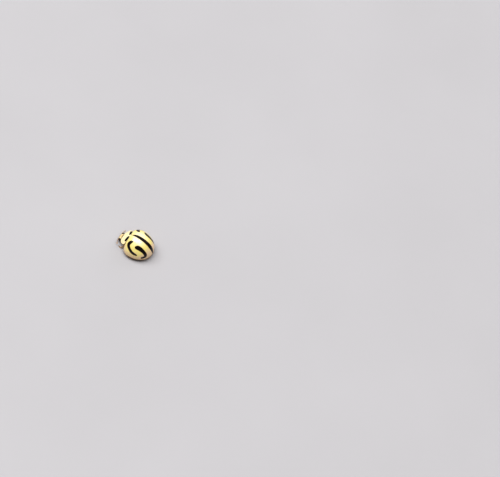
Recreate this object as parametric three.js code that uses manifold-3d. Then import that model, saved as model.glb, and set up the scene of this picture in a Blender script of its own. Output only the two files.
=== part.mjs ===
// A small striped ladybird at life size, standing still on its six feet.
// Millimetres. +Z is up, the head looks along -Y, and +X is the insect's own left side.
// The origin is on the ground, under the middle of the body.
//
// Most of the body is one rounded dome, which parts into the two wing cases, the thorax and the
// abdomen. The shield behind the head carries on from the dome's front, and the head hangs below it.

import * as THREE from 'three';
import { mergeVertices } from 'three/addons/utils/BufferGeometryUtils.js';
import Module from 'manifold-3d';

const wasm = await Module();
wasm.setup();

// ---------------------------------------------------------------- driving dimensions

const GAP = 0.04; // thin cut between neighbouring pieces
const HALF_LENGTH = 2.18; // from the origin to the mouth, and to the tail
const HALF_WIDTH = 1.8; // across one wing case
const RIM_HEIGHT = 0.5; // the wing cases' lower edge above the ground
const DOME_RISE = 1.874; // from that edge to the crown
const DOME_FRONT = 1.354; // how far forward the dome would reach, uncut
const OUTLINE_POWER = 2.12; // of the superellipse seen from above
const SHELL = 0.5; // thickness of a wing case
const SHELL_FRONT = 0.254; // the same, where it leans forward over the thorax
const BASE_Y = -1; // front edge of the wing cases
const WAIST_Y = 0.2; // where the abdomen takes over from the thorax

const SHIELD = {
  length: 0.76, // along the middle
  backWidth: 1.12, // half width at the hind corners
  frontWidth: 0.61, // half width at the front corners
  narrowing: 1.4, // the width falls off as this power of the way forward
  bulge: 0.06, // how far the sides bow out between the corners
  hindCorner: 0.2, // share of the half width that each hind corner's rounding takes
  hindLength: 1.5, // length of that rounding against its width
  frontCorner: 0.36,
  frontLength: 1.2,
  backHeight: 1.66,
  drop: 0.86, // from the hind edge down to the front edge
  sideDrop: 0.6, // from the ridge down to the hind corners
  frontSideDrop: 0.22, // the same at the front corners
  thickness: 0.34,
  frontThickness: 0.14,
  notch: 0.03, // how far the front edge bows back over the head
};
const BREAST_REACH = 0.7; // share of the shield's length that the first segment's underside takes
const SCUTELLUM = { halfWidth: 0.19, length: 0.26, thickness: 0.42 };

const HEAD = { x: 0, y: -1.8, z: 0.47, halfSizes: [0.54, 0.36, 0.27] };
const EYE = { x: 0.44, y: -1.9, z: 0.5, radius: 0.19 };
const MOUTH = { x: 0, y: -1.98, z: 0.27, halfSizes: [0.32, HALF_LENGTH - 1.98, 0.19] };

// Feelers and legs are modelled stout. Thigh and shin clear the ground, and each foot stands lower
// than its own radius, which leaves a flat sole at ground level.
const LIMB_HEIGHT = 0.235;
const FOOT_HEIGHT = 0.2;
const THIGH_RADII = [0.21, 0.225, 0.22];
const SHIN_RADII = [0.22, 0.215, 0.21];
const FOOT_RADII = [0.21, 0.22, 0.21];
const ANTENNA_RADII = [0.19, 0.19, 0.21];
const ANTENNA = [[0.55, -1.94, 0.39], [0.78, -1.96, 0.41], [0.96, -1.9, 0.4]];

// hip, knee, ankle and toe of each left leg, seen from above
const LEGS = {
  front: { hip: [0.32, -1.02], knee: [0.9, -1.12], ankle: [1.06, -1.36], toe: [1.0, -1.6] },
  mid: { hip: [0.42, -0.4], knee: [1.22, -0.48], ankle: [1.4, -0.14], toe: [1.42, 0.18] },
  hind: { hip: [0.38, 0.34], knee: [1.14, 0.74], ankle: [1.16, 1.16], toe: [0.98, 1.5] },
};

// ---------------------------------------------------------------- finishes

const FINISH = {
  wingCase: { color: 0xefdc6a, roughness: 0.25, metalness: 0 },
  shield: { color: 0xf2e6b4, roughness: 0.3, metalness: 0 },
  head: { color: 0xe9d9a0, roughness: 0.35, metalness: 0 },
  eye: { color: 0x14100d, roughness: 0.15, metalness: 0 },
  underside: { color: 0x6e4a26, roughness: 0.4, metalness: 0 },
  limb: { color: 0xb98a48, roughness: 0.4, metalness: 0 },
};

// ---------------------------------------------------------------- closed meshes

function signedVolume(geometry, index) {
  const position = geometry.attributes.position;
  const [a, b, c] = [new THREE.Vector3(), new THREE.Vector3(), new THREE.Vector3()];
  let total = 0;
  for (let i = 0; i < index.length; i += 3) {
    a.fromBufferAttribute(position, index[i]);
    b.fromBufferAttribute(position, index[i + 1]);
    c.fromBufferAttribute(position, index[i + 2]);
    total += a.dot(b.cross(c));
  }
  return total;
}

// Joins corners that coincide, drops triangles that have shrunk to a line, and turns the
// surface outwards.
function closedGeometry(corners, triangles) {
  const loose = new THREE.BufferGeometry();
  loose.setAttribute('position', new THREE.Float32BufferAttribute(corners.flat(), 3));
  loose.setIndex(triangles.flat());
  const merged = mergeVertices(loose, 1e-4);
  const index = merged.index.array;
  const kept = [];
  for (let i = 0; i < index.length; i += 3) {
    const [a, b, c] = [index[i], index[i + 1], index[i + 2]];
    if (a !== b && b !== c && c !== a) kept.push(a, b, c);
  }
  merged.setIndex(signedVolume(merged, kept) < 0 ? kept.reverse() : kept);
  return merged;
}

// A solid between two grids of points of the same size, walled round all four edges.
function slab(outer, inner) {
  const rows = outer.length;
  const columns = outer[0].length;
  const [lastRow, lastColumn] = [rows - 1, columns - 1];
  const triangles = [];
  const at = (layer, i, j) => layer * rows * columns + i * columns + j;
  const quad = (a, b, c, d) => triangles.push([a, b, c], [a, c, d]);
  const wall = (i, j, k, l) => quad(at(0, i, j), at(0, k, l), at(1, k, l), at(1, i, j));
  for (let i = 0; i < lastRow; i++) {
    for (let j = 0; j < lastColumn; j++) {
      quad(at(0, i, j), at(0, i, j + 1), at(0, i + 1, j + 1), at(0, i + 1, j));
      quad(at(1, i, j), at(1, i + 1, j), at(1, i + 1, j + 1), at(1, i, j + 1));
    }
    wall(i, 0, i + 1, 0);
    wall(i + 1, lastColumn, i, lastColumn);
  }
  for (let j = 0; j < lastColumn; j++) {
    wall(0, j + 1, 0, j);
    wall(lastRow, j, lastRow, j + 1);
  }
  return closedGeometry([...outer.flat(), ...inner.flat()], triangles);
}

// A round-ended limb of changing radius along a smooth line. No part of it reaches below the ground.
function limb(points, radii, spread = 0) {
  const sides = 10;
  const steps = 9;
  const places = points.map((p) => new THREE.Vector3(...p));
  const count = places.length;
  const overrun = (end, before, radius) => {
    const outwards = places[end].clone().sub(places[before]).normalize();
    return places[end].clone().addScaledVector(outwards, radius + spread);
  };
  const first = overrun(0, 1, radii[0]);
  const last = overrun(count - 1, count - 2, radii.at(-1));
  const line = new THREE.CatmullRomCurve3([first, ...places.slice(1, -1), last]);
  const length = line.getLength();
  const up = new THREE.Vector3(0, 0, 1);
  const corners = [];
  const triangles = [];
  for (let i = 0; i <= steps; i++) {
    const s = (1 - Math.cos((Math.PI * i) / steps)) / 2;
    const slot = Math.min(Math.floor(s * (radii.length - 1)), radii.length - 2);
    const radius = THREE.MathUtils.lerp(radii[slot], radii[slot + 1], s * (radii.length - 1) - slot);
    const full = radius + spread;
    const toEnd = Math.min(1, (Math.min(s, 1 - s) * length) / full);
    const round = full * Math.sqrt(1 - (1 - toEnd) ** 2);
    const along = line.getTangentAt(s);
    const side = new THREE.Vector3().crossVectors(along, up).normalize();
    const over = new THREE.Vector3().crossVectors(side, along).normalize();
    for (let k = 0; k < sides; k++) {
      const turn = (2 * Math.PI * k) / sides;
      const p = line.getPointAt(s);
      p.addScaledVector(side, round * Math.cos(turn));
      p.addScaledVector(over, round * Math.sin(turn));
      corners.push([p.x, p.y, Math.max(p.z, -spread)]);
    }
  }
  for (let i = 0; i < steps; i++) {
    for (let k = 0; k < sides; k++) {
      const [a, b] = [i * sides + k, i * sides + ((k + 1) % sides)];
      triangles.push([a, b, b + sides], [a, b + sides, a + sides]);
    }
  }
  return closedGeometry(corners, triangles);
}

// A ball stretched to three half sizes, grown all round by spread.
function ball({ x, y, z }, halfSizes, spread = 0, segments = [20, 12]) {
  const sphere = new THREE.SphereGeometry(1, ...segments);
  sphere.rotateX(Math.PI / 2);
  sphere.scale(...halfSizes.map((half) => half + spread));
  sphere.translate(x, y, z);
  return sphere;
}

function mirrored(geometry) {
  const other = geometry.clone().scale(-1, 1, 1);
  other.setIndex([...geometry.index.array].reverse());
  return other;
}

// ---------------------------------------------------------------- cutting one piece by others

function solid(geometry) {
  const bare = geometry.clone();
  bare.deleteAttribute('normal');
  bare.deleteAttribute('uv');
  const merged = mergeVertices(bare, 1e-4);
  return new wasm.Manifold(new wasm.Mesh({
    numProp: 3,
    vertProperties: Float32Array.from(merged.attributes.position.array),
    triVerts: Uint32Array.from(merged.index.array),
  }));
}

function cut(geometry, ...tools) {
  const left = tools.reduce((body, tool) => body.subtract(solid(tool)), solid(geometry));
  const mesh = left.simplify(0.004).getMesh();
  const result = new THREE.BufferGeometry();
  result.setAttribute('position', new THREE.BufferAttribute(mesh.vertProperties, 3));
  result.setIndex(new THREE.BufferAttribute(mesh.triVerts, 1));
  return result;
}

// ---------------------------------------------------------------- the dome

const OUTER = { side: HALF_WIDTH, front: DOME_FRONT, back: HALF_LENGTH, rise: DOME_RISE };
const INNER = shrunk(OUTER, SHELL, SHELL_FRONT);
const FILLING = shrunk(INNER, GAP, GAP);

function shrunk(size, by, byAtFront) {
  return {
    side: size.side - by,
    front: size.front - byAtFront,
    back: size.back - by,
    rise: size.rise - by,
  };
}

// How far out a place is from the dome's middle: 0 at the middle and 1 on its edge.
function domeReach(x, y, size) {
  const along = y < 0 ? size.front : size.back;
  const sum = Math.abs(x / size.side) ** OUTLINE_POWER + Math.abs(y / along) ** OUTLINE_POWER;
  return sum ** (1 / OUTLINE_POWER);
}

function domeHeight(x, y, size) {
  return RIM_HEIGHT + size.rise * Math.sqrt(Math.max(0, 1 - domeReach(x, y, size) ** 2));
}

// ---------------------------------------------------------------- wing cases

// One skin of the left wing case, as a fan of lines from the crown out to the rim, or to the
// straight front edge where that comes first.
function caseSkin(size) {
  const turns = 20;
  const rings = 10;
  const rows = [];
  for (let i = 0; i <= turns; i++) {
    const turn = Math.PI * (i / turns - 0.5);
    const [dx, dy] = [Math.cos(turn), Math.sin(turn)];
    const rim = 1 / domeReach(dx, dy, size);
    const reach = dy < 0 ? Math.min(rim, BASE_Y / dy) : rim;
    const row = [];
    for (let j = 0; j <= rings; j++) {
      const out = reach * Math.sin((Math.PI * j) / rings / 2);
      row.push([GAP / 2 + dx * out, dy * out, domeHeight(dx * out, dy * out, size)]);
    }
    rows.push(row);
  }
  return rows;
}

// The small triangle between the wing cases' front corners, and the larger wedge that makes
// its notch in them.
function scutellum({ spread = 0, above = 0 } = {}) {
  const { halfWidth, length, thickness } = SCUTELLUM;
  const half = halfWidth + spread * 1.5;
  const front = BASE_Y - spread;
  const back = BASE_Y + length + spread * 2;
  const skin = (rise) => [
    [-half, 0, half].map((x) => [x, front, domeHeight(x, front, OUTER) + rise]),
    [-half, 0, half].map(() => [0, back, domeHeight(0, back, OUTER) + rise]),
  ];
  return slab(skin(above), skin(-thickness - spread));
}

function wingCase() {
  const notch = scutellum({ spread: GAP, above: 0.3 });
  return cut(slab(caseSkin(OUTER), caseSkin(INNER)), notch);
}

// ---------------------------------------------------------------- thorax and abdomen

// The body under the wing cases, between two places along it, with a flat underside.
function trunk(fromY, toY, steps) {
  const across = 14;
  const top = [];
  const bottom = [];
  for (let i = 0; i <= steps; i++) {
    const y = THREE.MathUtils.lerp(fromY, toY, Math.sin((Math.PI * i) / steps / 2));
    const end = y < 0 ? FILLING.front : FILLING.back;
    const share = Math.max(0, 1 - Math.abs(y / end) ** OUTLINE_POWER);
    const half = FILLING.side * share ** (1 / OUTLINE_POWER);
    const upper = [];
    const lower = [];
    for (let j = 0; j <= across; j++) {
      const x = half * Math.sin(Math.PI * (j / across - 0.5));
      const onEdge = j === 0 || j === across;
      upper.push([x, y, onEdge ? RIM_HEIGHT : domeHeight(x, y, FILLING)]);
      lower.push([x, y, RIM_HEIGHT]);
    }
    top.push(upper);
    bottom.push(lower);
  }
  return slab(top, bottom);
}

// ---------------------------------------------------------------- shield

// t runs from 0 at the hind edge to 1 at the front edge, u from -1 to 1 across, and depth from
// 0 on the upper skin to 1 on the lower one.
function shieldPoint(t, u, depth) {
  const { lerp } = THREE.MathUtils;
  const hind = BASE_Y - GAP;
  const front = hind - SHIELD.length - SHIELD.notch * u * u;
  const bulge = SHIELD.bulge * Math.sin(Math.PI * t);
  const half = lerp(SHIELD.backWidth, SHIELD.frontWidth, t ** SHIELD.narrowing) + bulge;
  const ridge = SHIELD.backHeight - SHIELD.drop * (0.75 * t + 0.25 * t * t);
  const sideDrop = lerp(SHIELD.sideDrop, SHIELD.frontSideDrop, t) * Math.abs(u) ** 2.7;
  const thick = lerp(SHIELD.thickness, SHIELD.frontThickness, t) * (1 - 0.55 * u * u);
  return [half * u, lerp(hind, front, t), ridge - sideDrop - depth * thick];
}

// A grid of places over the first share of the shield's length and over its width.
function shieldGrid({ rows, columns, length = 1, width = 1 }, place) {
  const grid = [];
  for (let i = 0; i <= rows; i++) {
    const row = [];
    for (let j = 0; j <= columns; j++) {
      const u = width * Math.sin(Math.PI * (j / columns - 0.5));
      row.push(place((length * i) / rows, u));
    }
    grid.push(row);
  }
  return grid;
}

// How far a rounded corner comes in from the edge at u, as a share of the half width.
function rounded(u, corner) {
  const part = Math.max(0, (Math.abs(u) - 1 + corner) / corner);
  return corner * (1 - Math.sqrt(Math.max(0, 1 - part * part)));
}

function shield() {
  const size = { rows: 8, columns: 16 };
  const skin = (depth) => shieldGrid(size, (t, u) => {
    const hind = SHIELD.hindLength * rounded(u, SHIELD.hindCorner);
    const front = 1 - SHIELD.frontLength * rounded(u, SHIELD.frontCorner);
    return shieldPoint(THREE.MathUtils.lerp(hind, front, t), u, depth);
  });
  return slab(skin(0), skin(1));
}

// The underside of the first segment, below the shield, with a socket for the head.
function breast() {
  const size = { rows: 5, columns: 10, length: BREAST_REACH, width: 0.94 };
  const upper = shieldGrid(size, (t, u) => {
    const [x, y, z] = shieldPoint(t, u, 1);
    return [x, y, z - GAP];
  });
  const lower = upper.map((row) => row.map(([x, y]) => [0.9 * x, y, RIM_HEIGHT]));
  return cut(slab(upper, lower), headBall(GAP));
}

// ---------------------------------------------------------------- head

function headBall(spread = 0) {
  return ball(HEAD, HEAD.halfSizes, spread);
}

function eyeBall(side, spread = 0) {
  const { radius } = EYE;
  return ball({ ...EYE, x: side * EYE.x }, [radius, radius, radius], spread, [16, 10]);
}

function headCapsule() {
  return cut(headBall(), eyeBall(1, GAP), eyeBall(-1, GAP));
}

function mouthparts() {
  return cut(ball(MOUTH, MOUTH.halfSizes, 0, [16, 10]), headBall(GAP));
}

function antenna(side) {
  const points = ANTENNA.map(([x, y, z]) => [side * x, y, z]);
  return cut(limb(points, ANTENNA_RADII), headBall(GAP), eyeBall(side, GAP), mouthparts());
}

// ---------------------------------------------------------------- legs

// Thigh, shin and foot of one leg, each hollowed at its end to take the next.
function leg(plan, side) {
  const { hip, knee, ankle, toe } = plan;
  const at = ([x, y], z) => [side * x, y, z];
  const thigh = [at(hip, LIMB_HEIGHT), at(knee, LIMB_HEIGHT)];
  const shin = [at(knee, LIMB_HEIGHT), at(ankle, LIMB_HEIGHT)];
  const foot = [at(ankle, FOOT_HEIGHT), at(toe, FOOT_HEIGHT)];
  return {
    femur: cut(limb(thigh, THIGH_RADII), limb(shin, SHIN_RADII, GAP)),
    tibia: cut(limb(shin, SHIN_RADII), limb(foot, FOOT_RADII, GAP)),
    tarsus: limb(foot, FOOT_RADII),
  };
}

// ---------------------------------------------------------------- the whole insect

const ladybird = new THREE.Group();

function add(name, geometry, finish) {
  const mesh = new THREE.Mesh(geometry, new THREE.MeshStandardMaterial(finish));
  mesh.name = name;
  ladybird.add(mesh);
}

const leftCase = wingCase();
add('elytron_left', leftCase, FINISH.wingCase);
add('elytron_right', mirrored(leftCase), FINISH.wingCase);
add('scutellum', scutellum(), FINISH.shield);
add('pronotum', shield(), FINISH.shield);
add('prosternum', breast(), FINISH.underside);
add('thorax', trunk(BASE_Y + GAP / 2, WAIST_Y - GAP / 2, 7), FINISH.underside);
add('abdomen', trunk(WAIST_Y + GAP / 2, FILLING.back, 9), FINISH.underside);
add('head', headCapsule(), FINISH.head);
add('mouthparts', mouthparts(), FINISH.limb);

for (const [sideName, side] of [['left', 1], ['right', -1]]) {
  add(`eye_${sideName}`, eyeBall(side), FINISH.eye);
  add(`antenna_${sideName}`, antenna(side), FINISH.limb);
  for (const [place, plan] of Object.entries(LEGS)) {
    for (const [segment, geometry] of Object.entries(leg(plan, side))) {
      add(`${segment}_${place}_${sideName}`, geometry, FINISH.limb);
    }
  }
}

export default ladybird;
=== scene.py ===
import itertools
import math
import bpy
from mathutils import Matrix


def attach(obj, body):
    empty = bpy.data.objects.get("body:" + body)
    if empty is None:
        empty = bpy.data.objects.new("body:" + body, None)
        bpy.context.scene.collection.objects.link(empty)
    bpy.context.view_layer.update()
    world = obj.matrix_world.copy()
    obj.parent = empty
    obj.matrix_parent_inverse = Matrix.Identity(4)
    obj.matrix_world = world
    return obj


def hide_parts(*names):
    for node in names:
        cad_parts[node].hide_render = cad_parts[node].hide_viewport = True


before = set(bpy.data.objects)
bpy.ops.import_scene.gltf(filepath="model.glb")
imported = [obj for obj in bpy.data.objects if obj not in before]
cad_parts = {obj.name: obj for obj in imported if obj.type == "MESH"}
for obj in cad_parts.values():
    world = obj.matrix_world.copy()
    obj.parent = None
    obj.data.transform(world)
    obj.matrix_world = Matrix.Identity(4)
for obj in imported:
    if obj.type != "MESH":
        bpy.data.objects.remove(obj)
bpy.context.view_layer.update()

# The looks of a small striped ladybird at life size. All shapes below are written in millimetres
# in the frame's own axes: the head looks along -Y, +X is the insect's left, and the floor is Z = 0.

from types import SimpleNamespace as Sizes

import bmesh
import bpy
import numpy as np
from mathutils import Matrix, Vector, kdtree

MM = 0.001
BODY = "root"
RIGHT_ANGLE = math.pi / 2
FULL_TURN = 2 * math.pi
FIELD_NAMES = ("stripe", "reach", "tone")
FAR = 0.5  # a stripe distance that is well outside every stripe

# ---- sizes

RIM_HEIGHT = 0.5  # lower edge of the wing cases above the floor
DOME = Sizes(side=1.8, front=1.354, back=2.18, rise=1.874)
TRUNK = Sizes(side=1.5, front=1.3, back=2.02, rise=1.62, floor=0.5)  # inside the dome
OUTLINE_POWER = 2.12
WAIST_Y = 0.2

SEAM = 0.0008  # half the gap between the wing cases
CASE_BASE_Y = -1.0
SCUTELLUM = Sizes(half=0.19, length=0.22, clearance=0.016)
EYE = Sizes(place=(0.425, -1.885, 0.495), half=(0.165, 0.185, 0.19), facets=1500, bulge=0.004)

# hip, knee, ankle and toe of each left leg
LEGS = {
    "front": [(0.36, -1.05, 0.40), (0.93, -1.12, 0.33), (1.06, -1.36, 0.105), (1.0, -1.67, 0.05)],
    "mid": [(0.50, -0.40, 0.40), (1.25, -0.48, 0.33), (1.4, -0.12, 0.105), (1.43, 0.25, 0.05)],
    "hind": [(0.46, 0.36, 0.40), (1.18, 0.75, 0.33), (1.16, 1.18, 0.105), (0.97, 1.57, 0.05)],
}
COXAE = {  # place and half size of each left hip
    "front": [(0.2, -1.06, 0.43), (0.19, 0.11, 0.1)],
    "mid": [(0.36, -0.4, 0.44), (0.2, 0.13, 0.09)],
    "hind": [(0.3, 0.3, 0.44), (0.3, 0.11, 0.09)],
}

# ---- curves and grids


def lerp(a, b, t):
    return a + (b - a) * t


def clip(t):
    return np.clip(t, 0, 1)


def smooth(t):
    t = clip(t)
    return t * t * (3 - 2 * t)


def unit(v):
    v = np.asarray(v, float)
    return v / np.maximum(np.linalg.norm(v, axis=-1, keepdims=True), 1e-12)


def xyz(*parts):
    """A grid of points from their coordinates."""
    return np.stack(np.broadcast_arrays(*parts), -1)


def to_left(points):
    """The points with those of the right side mirrored to the left."""
    return points * np.where(points[..., :1] < 0, (-1, 1, 1), 1)


def circle(sides):
    """Angles spaced evenly round a circle."""
    return FULL_TURN * np.arange(sides) / sides


def bunched(count, end=1.0):
    """Shares from -end to end, closer together near 1 and -1."""
    return np.sin(np.linspace(-end, end, count) * RIGHT_ANGLE)


def eased(count, inset=0.0):
    """Shares from 0 to 1, closer together near both. The inset keeps them off 0 and 1."""
    return (1 - np.cos(np.linspace(inset, math.pi - inset, count))) / 2


def quarter_round(share):
    """The height of a quarter circle over a share of its width."""
    return np.sqrt(np.maximum(0, 1 - (1 - clip(share)) ** 2))


def ridges(value, *profile):
    """The sum of smooth ridges, each (height, place, width). A negative height is a groove."""
    return sum(height * np.exp(-(((value - at) / width) ** 2)) for height, at, width in profile)


def oval(turn, across_power, up_power):
    """The level and upright shares of an oval at each angle. Powers above 2 make it boxy."""
    level = np.sign(np.cos(turn)) * np.abs(np.cos(turn)) ** (2 / across_power)
    upright = np.sign(np.sin(turn)) * np.abs(np.sin(turn)) ** (2 / up_power)
    return level, upright


def spline(controls, count):
    """Catmull-Rom points through the controls."""
    controls = np.asarray(controls, float)
    ends = 2 * controls[[0, -1]] - controls[[1, -2]]
    padded = np.vstack([ends[:1], controls, ends[1:]])
    t = np.linspace(0, len(controls) - 1 - 1e-9, count)
    i = t.astype(int)
    f = (t - i)[:, None]
    a, b, c, d = (padded[i + k] for k in range(4))
    return 0.5 * (2 * b + (c - a) * f + (2 * a - 5 * b + 4 * c - d) * f**2 + (3 * b - a - 3 * c + d) * f**3)


def arc_length(line):
    """The distance along a line of points, at each point."""
    return np.concatenate([[0], np.cumsum(np.linalg.norm(np.diff(line, axis=0), axis=1))])


def points_along(line, length, at):
    """Places on a line at the given distances along it."""
    return np.column_stack([np.interp(at, length, line[:, k]) for k in range(3)])


def grid_faces(rows, columns, wrap=False):
    """Quads between a grid's points, closed round each row if wrap is set."""
    i, j = np.meshgrid(np.arange(rows - 1), np.arange(columns if wrap else columns - 1), indexing="ij")
    k = (j + 1) % columns
    quads = np.stack([i * columns + j, i * columns + k, (i + 1) * columns + k, (i + 1) * columns + j], -1)
    return quads.reshape(-1, 4).tolist()


def grid_normals(grid, wrap=False):
    """Unit normals of a grid of points."""
    along = np.gradient(grid, axis=0)
    if wrap:
        around = (np.roll(grid, -1, axis=1) - np.roll(grid, 1, axis=1)) / 2
    else:
        around = np.gradient(grid, axis=1)
    return unit(np.cross(around, along))


def distance_to(points, centres):
    """From each point to the nearest centre."""
    tree = kdtree.KDTree(len(centres))
    for n, centre in enumerate(centres):
        tree.insert(centre, n)
    tree.balance()
    return np.array([tree.find(p)[2] for p in points])


def pit_field(grid, pit, seed):
    """0 away from any pit and 1 at a pit's middle. Pits lie at random, about one spacing apart."""
    rng = np.random.default_rng(seed)
    points = grid.reshape(-1, 3)
    steps = list(itertools.product((-1, 0, 1), repeat=3))
    cells = {}
    for i in rng.permutation(len(points)):
        here = points[i]
        key = tuple((here / pit.spacing).astype(int))
        near = [cells.get((key[0] + a, key[1] + b, key[2] + c)) for a, b, c in steps]
        if all(
            p is None or np.sum((p - here) ** 2) > (pit.spacing * (1 - PIT_JITTER * rng.random())) ** 2
            for p in near
        ):
            cells.setdefault(key, here)
    distance = distance_to(points, list(cells.values())).reshape(grid.shape[:-1])
    return np.exp(-((distance / pit.radius) ** 2))


# ---- shapes

SEGMENT_STEPS = 200  # points on a segment's curves before they are spaced along it


class Shape:
    """Points in millimetres, faces and one number per point in each field."""

    def __init__(self):
        self.points = []
        self.faces = []
        self.fields = {name: [] for name in FIELD_NAMES}
        self.count = 0
        self.skins = []  # (rings, number of hairs, hair length) for hair_coat
        self.patches = []  # each point's place in the map OFBake

    def add(self, points, faces, **fields):
        points = np.asarray(points, float).reshape(-1, 3)
        start = self.count
        self.points.append(points)
        self.faces += [[start + i for i in face] for face in faces]
        for name in FIELD_NAMES:
            value = fields.get(name, 0.0)
            self.fields[name].append(np.broadcast_to(np.ravel(value), len(points)).astype(float))
        self.count += len(points)

    def loft(self, rings, **fields):
        """Closed rings joined one to the next, with a flat end at each side."""
        rows, columns = rings.shape[:2]
        faces = grid_faces(rows, columns, wrap=True)
        faces.append(list(range(columns)))
        faces.append([(rows - 1) * columns + j for j in reversed(range(columns))])
        self.add(rings, faces, **fields)

    def segment(self, controls, widths, depth=1.0, rows=30, sides=20, power=2.0, ends=(0.12, 0.12),
                hairs=None, tone=0.0):
        """A round-ended piece of a limb through the control points. Widths are half widths spaced
        evenly along it. Hairs is (number, length). Tone is one number, or one for each row."""
        t = eased(rows, inset=0.02)
        dense = spline(controls, SEGMENT_STEPS)
        length = arc_length(dense)
        line = points_along(dense, length, t * length[-1])
        half = spline([(w, 0) for w in widths], SEGMENT_STEPS)[:, 0]
        half = np.interp(t, np.linspace(0, 1, SEGMENT_STEPS), half)
        half = half * quarter_round(t / ends[0]) * quarter_round((1 - t) / ends[1])
        along = unit(np.gradient(line, axis=0))
        side = unit(np.cross(along, (0.0, 0.0, 1.0)))
        over = np.cross(side, along)
        level, upright = oval(circle(sides), power, power)
        rings = line[:, None] + side[:, None] * (half[:, None] * level)[..., None]
        rings = rings + over[:, None] * ((half * depth)[:, None] * upright)[..., None]
        self.loft(rings, tone=np.broadcast_to(np.reshape(tone, (-1, 1)), (rows, sides)))
        if hairs:
            self.skins.append((rings, *hairs))

    def ball(self, place, half, rows=24, sides=32, **fields):
        polar, turn = np.linspace(0.03, math.pi - 0.03, rows)[:, None], circle(sides)
        out = xyz(np.sin(polar) * np.cos(turn), np.sin(polar) * np.sin(turn), np.cos(polar))
        self.loft(place + out * half, **fields)


def add_coxae(shape, leg):
    """The hips of one pair of legs."""
    place, half = COXAE[leg]
    for side in (-1, 1):
        shape.ball(np.array(place) * (side, 1, 1), half, reach=0.4)


def add_object(name, data):
    made = bpy.data.objects.new(name, data)
    bpy.context.scene.collection.objects.link(made)
    return made


def make_piece(name, shape, material, slot, *nodes, side=1):
    """One object from a shape, mirrored if side is -1. It stands for the CAD node named."""
    mesh = bpy.data.meshes.new(name)
    points = np.concatenate(shape.points) * (side, 1, 1)
    mesh.from_pydata(points * MM, [], [face[::side] for face in shape.faces])
    work = bmesh.new()
    work.from_mesh(mesh)
    bmesh.ops.recalc_face_normals(work, faces=work.faces)
    work.to_mesh(mesh)
    work.free()
    for field in FIELD_NAMES:
        layer = mesh.attributes.new(field, "FLOAT", "POINT")
        layer.data.foreach_set("value", np.concatenate(shape.fields[field]).astype(np.float32))
    if shape.patches:
        layer = mesh.uv_layers.new(name="OFBake")
        corners = np.empty(len(mesh.loops), dtype=np.int32)
        mesh.loops.foreach_get("vertex_index", corners)
        layer.data.foreach_set("uv", np.concatenate(shape.patches)[corners].ravel().astype(np.float32))
    mesh.shade_smooth()
    mesh.materials.append(material)
    piece = add_object(name, mesh)
    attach(piece, BODY)
    if nodes:
        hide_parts(*nodes)


def make_pair(name, shape, material, slot, *nodes):
    """The same piece on both sides. The shape is the left one."""
    for end, side in (("_left", 1), ("_right", -1)):
        make_piece(name + end, shape, material, slot, *(node + end for node in nodes), side=side)


# ---- the dome


def span(y, size):
    """How far the outline reaches along Y, ahead of or behind the middle."""
    return np.where(y < 0, size.front, size.back)


def outline_reach(x, y, size):
    """0 in the outline's middle and 1 on it."""
    total = np.abs(x / size.side) ** OUTLINE_POWER + np.abs(y / span(y, size)) ** OUTLINE_POWER
    return total ** (1 / OUTLINE_POWER)


def outline_half_width(y, size):
    share = np.maximum(0, 1 - np.abs(y / span(y, size)) ** OUTLINE_POWER)
    return size.side * share ** (1 / OUTLINE_POWER)


def dome_height(x, y):
    rest = np.maximum(0, 1 - outline_reach(x, y, DOME) ** 2)
    return RIM_HEIGHT + DOME.rise * np.sqrt(rest)


def dome_directions(x, y):
    """The dome's normal on its left half, and the level direction out of its rim."""
    along = span(y, DOME)
    gx = np.abs(x / DOME.side) ** (OUTLINE_POWER - 1) / DOME.side
    gy = np.sign(y) * np.abs(y / along) ** (OUTLINE_POWER - 1) / along
    gz = (dome_height(x, y) - RIM_HEIGHT) / DOME.rise ** 2
    return unit(xyz(gx, gy, gz)), unit(xyz(gx, gy, 0.0))


# ---- stripes
# Each stripe is a smooth line on the left half of the dome or the shield, as (x, y, half width).

STRIPES = {
    "suture": [
        (0, -0.70, 0.02), (0, -0.52, 0.08), (0, -0.2, 0.135), (0, 0.3, 0.17), (0, 0.9, 0.19),
        (0, 1.5, 0.21), (0, 1.85, 0.2), (0, 2.06, 0.13), (0, 2.17, 0.04),
    ],
    "shoulder": [
        (0.78, -0.31, 0.09), (0.86, -0.43, 0.16), (1.0, -0.53, 0.19), (1.15, -0.54, 0.19),
        (1.29, -0.46, 0.18), (1.41, -0.32, 0.165), (1.52, -0.12, 0.155), (1.6, 0.16, 0.155),
        (1.61, 0.46, 0.145), (1.57, 0.76, 0.1),
    ],
    "disc": [
        (1.1, 0.42, 0.18), (1.04, 0.6, 0.24), (1.0, 0.92, 0.225), (0.98, 1.27, 0.19),
        (0.965, 1.52, 0.175), (0.98, 1.67, 0.165), (1.08, 1.69, 0.155), (1.28, 1.52, 0.145),
        (1.36, 1.42, 0.1),
    ],
}
SHIELD_BARS = [(0.2, -1.08, 0.11), (0.36, -1.095, 0.165), (0.54, -1.125, 0.165), (0.68, -1.16, 0.125)]


def stripe_distance(points, line, height):
    """Distance in millimetres from each point to the stripe's edge, negative inside."""
    dense = spline(line, 260)
    spine = np.column_stack([dense[:, :2], height(dense[:, 0], dense[:, 1])])
    nearest = np.full(len(points), 9.0)
    for centre, half in zip(spine, dense[:, 2]):
        nearest = np.minimum(nearest, np.linalg.norm(points - centre, axis=1) - half)
    return np.clip(nearest, -FAR, FAR)


# ---- wing cases

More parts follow.
